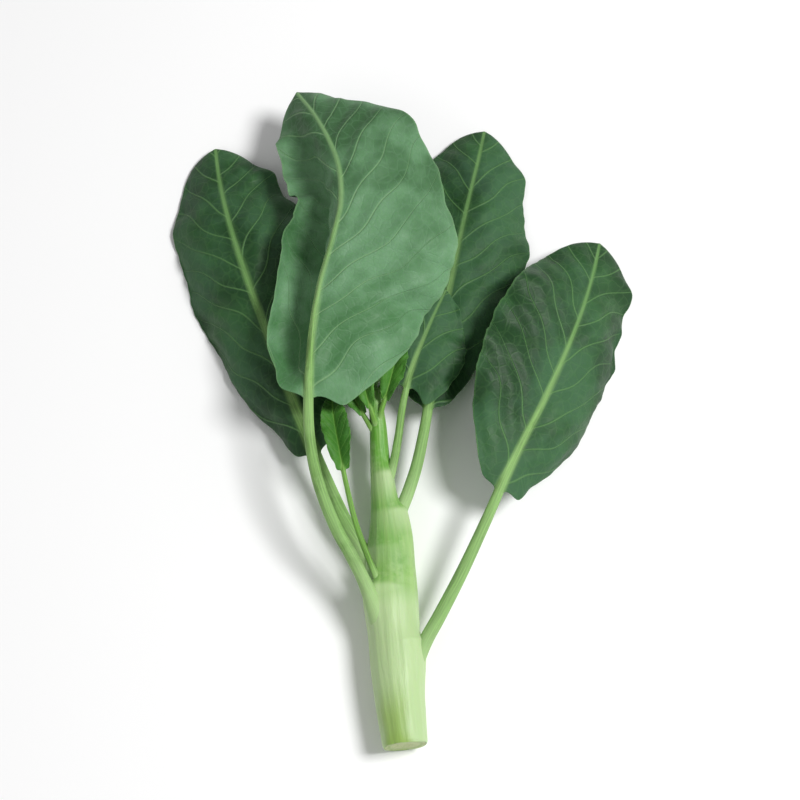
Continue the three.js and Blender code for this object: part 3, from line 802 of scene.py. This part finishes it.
# %% [markdown]
# A finished piece should be a plain mesh, so the tree is run once, its result is kept, and the
# modifier is taken off again.

# %% Turn a tree's result into a plain mesh
def settle(piece, tree, **inputs):
    """Runs a Geometry Nodes tree on a piece and keeps the mesh that it makes."""
    modifier = piece.modifiers.new(tree.name, "NODES")
    modifier.node_group = tree
    for item in tree.interface.items_tree:
        label = item.name.lower()
        if item.in_out == "INPUT" and label in inputs:
            modifier[item.identifier] = inputs[label]
    piece.update_tag()
    depsgraph = bpy.context.evaluated_depsgraph_get()
    made = bpy.data.meshes.new_from_object(piece.evaluated_get(depsgraph))
    piece.modifiers.clear()
    piece.data = made
    made.name = piece.name
    print(f"{piece.name}: {len(made.polygons)} faces from {tree.name}")


# %% [markdown]
# ## Finishes
# The stem's skin is pale where the wax is thick: all over below the front leaf, and near the nodes
# above it. Between them it is greener, with fine lengthwise fibres, and a yellow-green patch runs up
# from the cut. The cut face is pale pith inside a greener ring. The colours vary slowly along the
# plant and quickly in the fibres, so both sizes of noise are used.

# %% Finish: stem
stem_finish = bpy.data.materials.new("stem_skin")
stem_finish.use_nodes = True
wire = Wiring(stem_finish.node_tree)
shader = stem_finish.node_tree.nodes["Principled BSDF"]
where = wire.add("ShaderNodeCombineXYZ")
wire.feed(where.inputs[0], wire.value_of("round_x"))
wire.feed(where.inputs[1], wire.value_of("round_y"))
wire.feed(where.inputs[2], wire.maths("MULTIPLY", wire.value_of("along"), 1.6))
streaks = use(wire, fibres, Skin=where.outputs[0], Fineness=4.2)
wax = use(wire, bloom, Place=wire.place(), Patch=70.0, Amount=0.42)["Mask"]
share = wire.value_of("along")
glow = wire.value_of("node_glow")
slow = wire.noise(wire.place(), 45.0, 2.0)
green = wire.mix(wire.fade(slow, 0.35, 0.65), rgb(0.105, 0.32, 0.032), rgb(0.21, 0.44, 0.070))
upper_green = wire.mix(wire.fade(share, 0.45, 0.85), green, rgb(0.115, 0.35, 0.032))
streaked = wire.mix(wire.fade(streaks["Broad"], 0.40, 0.66, 0.0, 0.45), upper_green,
    rgb(0.32, 0.55, 0.14))
streaked = wire.mix(wire.fade(streaks["Thin"], 0.52, 0.74, 0.0, 0.32), streaked,
    rgb(0.10, 0.30, 0.035))
pale = wire.maths("MAXIMUM", wire.maths("MULTIPLY", glow, 0.85), wax)
low_pale = wire.fade(share, 0.49, 0.36, 0.0, 0.88)
bloomed = wire.mix(wire.maths("MAXIMUM", pale, low_pale), streaked, rgb(0.49, 0.645, 0.335))
facing = wire.maths("MULTIPLY_ADD", wire.value_of("round_x"), -0.42,
    wire.maths("MULTIPLY", wire.value_of("round_y"), 0.91))
facing = wire.maths("ADD", facing, wire.maths("MULTIPLY", wire.maths("SUBTRACT", slow, 0.5), 0.8))
yellowed = wire.maths("MULTIPLY", wire.fade(share, 0.19, 0.03), wire.fade(facing, 0.62, 0.98))
skin_colour = wire.mix(wire.maths("MULTIPLY", yellowed, 0.8), bloomed, rgb(0.255, 0.42, 0.055))
reach = wire.value_of("reach")
cut_noise = wire.noise(wire.place(), 900.0, 3.0)
pith = wire.mix(wire.fade(cut_noise, 0.35, 0.7), rgb(0.52, 0.60, 0.27), rgb(0.40, 0.50, 0.17))
ring = wire.maths("MULTIPLY", wire.fade(reach, 0.66, 0.76), wire.fade(reach, 0.92, 0.82))
cut_colour = wire.mix(wire.maths("MULTIPLY", ring, 0.55), pith, rgb(0.26, 0.42, 0.09))
cut_colour = wire.mix(wire.fade(reach, 0.93, 1.0, 0.0, 0.8), cut_colour, rgb(0.22, 0.42, 0.09))
wire.feed(shader.inputs["Base Color"], wire.mix(wire.value_of("cut"), skin_colour, cut_colour))
wire.feed(shader.inputs["Roughness"], wire.fade(pale, 0.0, 1.0, 0.40, 0.56))
height = wire.maths("MULTIPLY_ADD", streaks["Thin"], 0.7,
    wire.maths("MULTIPLY", streaks["Broad"], 0.8))
bump = wire.add("ShaderNodeBump")
wire.feed(bump.inputs["Height"], wire.maths("ADD", height, wire.maths("MULTIPLY", cut_noise, 0.25)))
bump.inputs["Distance"].default_value = 0.0004
bump.inputs["Strength"].default_value = 0.4
wire.feed(shader.inputs["Normal"], bump.outputs[0])
shader.inputs["Subsurface Weight"].default_value = 0.18
shader.inputs["Subsurface Radius"].default_value = (0.5, 1.0, 0.25)
shader.inputs["Subsurface Scale"].default_value = 0.002
shader.inputs["Specular IOR Level"].default_value = 0.4
stem.data.materials.append(stem_finish)

# %% [markdown]
# A leaf has two faces. The upper one is dark blue-green with pale thin veins that lie a little sunk,
# and the lower one is paler and greyer, with veins that stand out. Each point of the mesh knows which
# face it is on, so one finish holds both. Stalk and midrib take over the pale green of the stem, and
# the foot of each stalk is as pale as the skin it grows from, so that the two read as one plant.


# %% Finish: leaves
def leaf_finish(name, upper, upper_light, under, under_light, top_vein, low_vein, stalk, spacing,
    net, wax_amount):
    material = bpy.data.materials.new(name)
    material.use_nodes = True
    wire = Wiring(material.node_tree)
    shader = material.node_tree.nodes["Principled BSDF"]
    mapped = wire.map("leaf_map")
    lines = use(
        wire, veins, Map=mapped, Phase=wire.value_of("phase"), Out=wire.value_of("out"),
        Spacing=spacing, Width=spacing * 0.06, Net_Size=net)
    wax = use(wire, bloom, Place=wire.place(), Patch=42.0, Amount=wax_amount)["Mask"]
    underneath = wire.value_of("under")
    out_mm = wire.value_of("out")
    margin = wire.value_of("margin")
    broad = wire.noise(wire.place(), 38.0, 3.0)
    small = wire.noise(wire.place(), 420.0, 3.0)

    top = wire.mix(wire.fade(broad, 0.40, 0.60), rgb(*upper), rgb(*upper_light))
    top = wire.mix(wire.maths("MULTIPLY", wax, 0.5), top, rgb(0.056, 0.135, 0.076))
    top = wire.mix(wire.maths("MULTIPLY", lines["Net"], 0.12), top, rgb(*top_vein))
    low = wire.mix(wire.fade(broad, 0.40, 0.60), rgb(*under), rgb(*under_light))
    far = wire.maths("MULTIPLY", wire.fade(wire.value_of("blade"), 0.25, 0.8),
        wire.fade(broad, 0.62, 0.42, 0.25, 0.85))
    low = wire.mix(far, low, rgb(*[0.55 * c for c in under]))
    low = wire.mix(wire.maths("MULTIPLY", lines["Net"], 0.18), low, rgb(*under_light))
    low = wire.mix(wire.maths("MULTIPLY", lines["Fine Net"], 0.16), low, rgb(*under))
    blade = wire.mix(underneath, top, low)
    vein = wire.mix(underneath, rgb(*top_vein), rgb(*low_vein))
    blade = wire.mix(wire.fade(small, 0.35, 0.75, 0.0, 0.22), blade, rgb(0.5, 0.8, 0.4), "MULTIPLY")
    blade = wire.mix(wire.fade(margin, 0.965, 1.0, 0.0, 0.4), blade, vein)
    reach = wire.fade(out_mm, 2.0, 30.0, 0.7, 0.2)
    drawn = wire.maths("MULTIPLY", lines["Vein"], reach)
    blade = wire.mix(drawn, blade, vein)

    skin = wire.stretch(mapped, (9.0, 260.0, 1.0))
    streaks = use(wire, fibres, Skin=skin, Fineness=1.0)
    shank = wire.mix(wire.fade(streaks["Broad"], 0.36, 0.64), rgb(*stalk),
        rgb(*[0.62 * c for c in stalk]))
    shank = wire.mix(wire.fade(wax, 0.0, 0.6, 0.0, 0.3), shank, rgb(0.38, 0.60, 0.25))
    shank = wire.mix(wire.maths("MULTIPLY", wire.value_of("foot"), 0.85), shank,
        rgb(0.43, 0.62, 0.28))
    upper_rib = wire.mix(wire.fade(wire.value_of("blade"), 0.1, 0.8, 0.0, 0.75), shank, vein)
    wire.feed(shader.inputs["Base Color"], wire.mix(wire.value_of("rib"), blade, upper_rib))

    rough = wire.fade(wax, 0.0, 0.7, 0.52, 0.68)
    wire.feed(shader.inputs["Roughness"], rough)
    raised = wire.maths("MULTIPLY_ADD", lines["Vein"], 1.0,
        wire.maths("MULTIPLY", lines["Net"], 0.22))
    raised = wire.maths("MULTIPLY_ADD", lines["Fine Net"], 0.08, raised)
    way = wire.fade(underneath, 0.0, 1.0, -0.8, 1.0)
    raised = wire.maths("MULTIPLY", raised, way)
    raised = wire.maths("MULTIPLY_ADD", small, 0.15, raised)
    blade_only = wire.maths("MULTIPLY", raised, wire.maths("SUBTRACT", 1.0, wire.value_of("rib")))
    rib_lines = wire.maths("MULTIPLY", wire.maths("MULTIPLY", streaks["Thin"],
        wire.value_of("rib")), 0.6)
    bump = wire.add("ShaderNodeBump")
    wire.feed(bump.inputs["Height"], wire.maths("ADD", blade_only, rib_lines))
    bump.inputs["Distance"].default_value = 0.0004
    bump.inputs["Strength"].default_value = 0.55
    wire.feed(shader.inputs["Normal"], bump.outputs[0])
    shader.inputs["Subsurface Weight"].default_value = 0.06
    shader.inputs["Subsurface Radius"].default_value = (0.3, 1.0, 0.15)
    shader.inputs["Subsurface Scale"].default_value = 0.001
    shader.inputs["Specular IOR Level"].default_value = 0.3
    shader.inputs["Sheen Weight"].default_value = 0.03
    shader.inputs["Sheen Roughness"].default_value = 0.5
    return material


leaf_green = leaf_finish(
    "leaf_green",
    upper=(0.010, 0.050, 0.011), upper_light=(0.030, 0.108, 0.030),
    under=(0.070, 0.190, 0.072), under_light=(0.150, 0.310, 0.160),
    top_vein=(0.105, 0.240, 0.075), low_vein=(0.200, 0.370, 0.170),
    stalk=(0.24, 0.46, 0.12), spacing=VEIN_SPACING, net=3.2, wax_amount=0.8)
young_green = leaf_finish(
    "young_leaf_green",
    upper=(0.035, 0.150, 0.012), upper_light=(0.080, 0.26, 0.026),
    under=(0.11, 0.27, 0.07), under_light=(0.19, 0.40, 0.14),
    top_vein=(0.14, 0.36, 0.05), low_vein=(0.20, 0.42, 0.09),
    stalk=(0.20, 0.44, 0.07), spacing=YOUNG_SPACING, net=1.5, wax_amount=0.25)
for name, leaf in grown.items():
    leaf.data.materials.append(leaf_green if name in LEAVES else young_green)

# %% [markdown]
# Closed buds are a fresh yellow-green, a little yellower at the tip where the petals press through,
# with a fine speckle in place of single hairs and pores.

# %% Finish: buds
bud_finish = bpy.data.materials.new("bud_green")
bud_finish.use_nodes = True
wire = Wiring(bud_finish.node_tree)
shader = bud_finish.node_tree.nodes["Principled BSDF"]
in_bud = wire.value_of("in_bud")
speckle = wire.noise(wire.place(), 700.0, 3.0)
tone = wire.mix(wire.fade(speckle, 0.35, 0.65), rgb(0.10, 0.26, 0.045), rgb(0.20, 0.38, 0.10))
tone = wire.mix(wire.fade(in_bud, 0.75, 1.0, 0.0, 0.6), tone, rgb(0.40, 0.50, 0.12))
wire.feed(shader.inputs["Base Color"], tone)
shader.inputs["Roughness"].default_value = 0.5
bump = wire.add("ShaderNodeBump")
wire.feed(bump.inputs["Height"], speckle)
bump.inputs["Distance"].default_value = 0.0003
wire.feed(shader.inputs["Normal"], bump.outputs[0])
one_bud.data.materials.append(bud_finish)
settle(buds, tree, bud=one_bud, size=1.0, finish=bud_finish)
buds.name = "flower_buds"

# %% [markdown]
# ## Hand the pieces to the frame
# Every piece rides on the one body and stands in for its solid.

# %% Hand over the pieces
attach(stem, "root")
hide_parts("stem")
for name, leaf in grown.items():
    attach(leaf, "root")
    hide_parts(name)
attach(buds, "root")
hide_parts(*[f"bud_{i}" for i in range(1, 8)])

# %% [markdown]
# ## Table, light and camera
# The stalk lies on a plain white table under a big soft light, and is looked down on from its cut
# end with a long lens, as a buyer would look at it on a stall.

# %% Table
TABLE_HALF = 3.0
corners = [(x * TABLE_HALF, y * TABLE_HALF, 0) for x, y in ((-1, -1), (1, -1), (1, 1), (-1, 1))]
table = bpy.data.meshes.new("table_top")
table.from_pydata(corners, [], [(0, 1, 2, 3)])
table_top = bpy.data.objects.new("table_top", table)
bpy.context.scene.collection.objects.link(table_top)
white = bpy.data.materials.new("table_white")
white.use_nodes = True
white.node_tree.nodes["Principled BSDF"].inputs["Base Color"].default_value = rgb(0.98, 0.98, 0.98)
white.node_tree.nodes["Principled BSDF"].inputs["Roughness"].default_value = 0.7
table.materials.append(white)


# %% [markdown]
# One broad lamp from the right shapes the folds of the leaves and the round of the stem. A weak one
# from the other side and a pale sky keep the shadows open.

# %% Light
def soft_light(name, place, size, power):
    data = bpy.data.lights.new(name, "AREA")
    data.shape, data.size, data.energy = "DISK", size, power
    lamp = bpy.data.objects.new(name, data)
    lamp.location = place
    lamp.rotation_euler = (-Vector(place)).to_track_quat("-Z", "Y").to_euler()
    bpy.context.scene.collection.objects.link(lamp)


soft_light("key", (0.60, 0.0, 0.92), 0.36, 10.4)
soft_light("fill", (-0.7, -0.6, 0.8), 0.9, 1.5)
world = bpy.data.worlds.new("studio")
bpy.context.scene.world = world
world.use_nodes = True
world.node_tree.nodes["Background"].inputs["Color"].default_value = rgb(1.0, 1.0, 1.0)
world.node_tree.nodes["Background"].inputs["Strength"].default_value = 0.32
bpy.context.scene.view_settings.view_transform = "Standard"

# %% [markdown]
# The camera looks down steeply from the side of the cut end. Its distance follows from the size of
# the model, so that the stalk fills the same share of the view if the model changes.

# %% Camera
ELEVATION, LENS, FILL, SENSOR = 70.0, 100.0, 0.86, 36.0
low, high = (Vector(corner) for corner in solid_bounds)
centre = (low + high) / 2
tall = (high.y - low.y) * math.sin(math.radians(ELEVATION)) + (high.z - low.z) * math.cos(math.radians(ELEVATION))
distance = tall / FILL * LENS / SENSOR
back = Vector((0, -math.cos(math.radians(ELEVATION)), math.sin(math.radians(ELEVATION))))
lens = bpy.data.cameras.new("camera")
lens.lens, lens.sensor_width, lens.clip_start = LENS, SENSOR, 0.01
camera = bpy.data.objects.new("camera", lens)
camera.location = centre + back * distance
camera.rotation_euler = (-back).to_track_quat("-Z", "Y").to_euler()
bpy.context.scene.collection.objects.link(camera)
bpy.context.scene.camera = camera
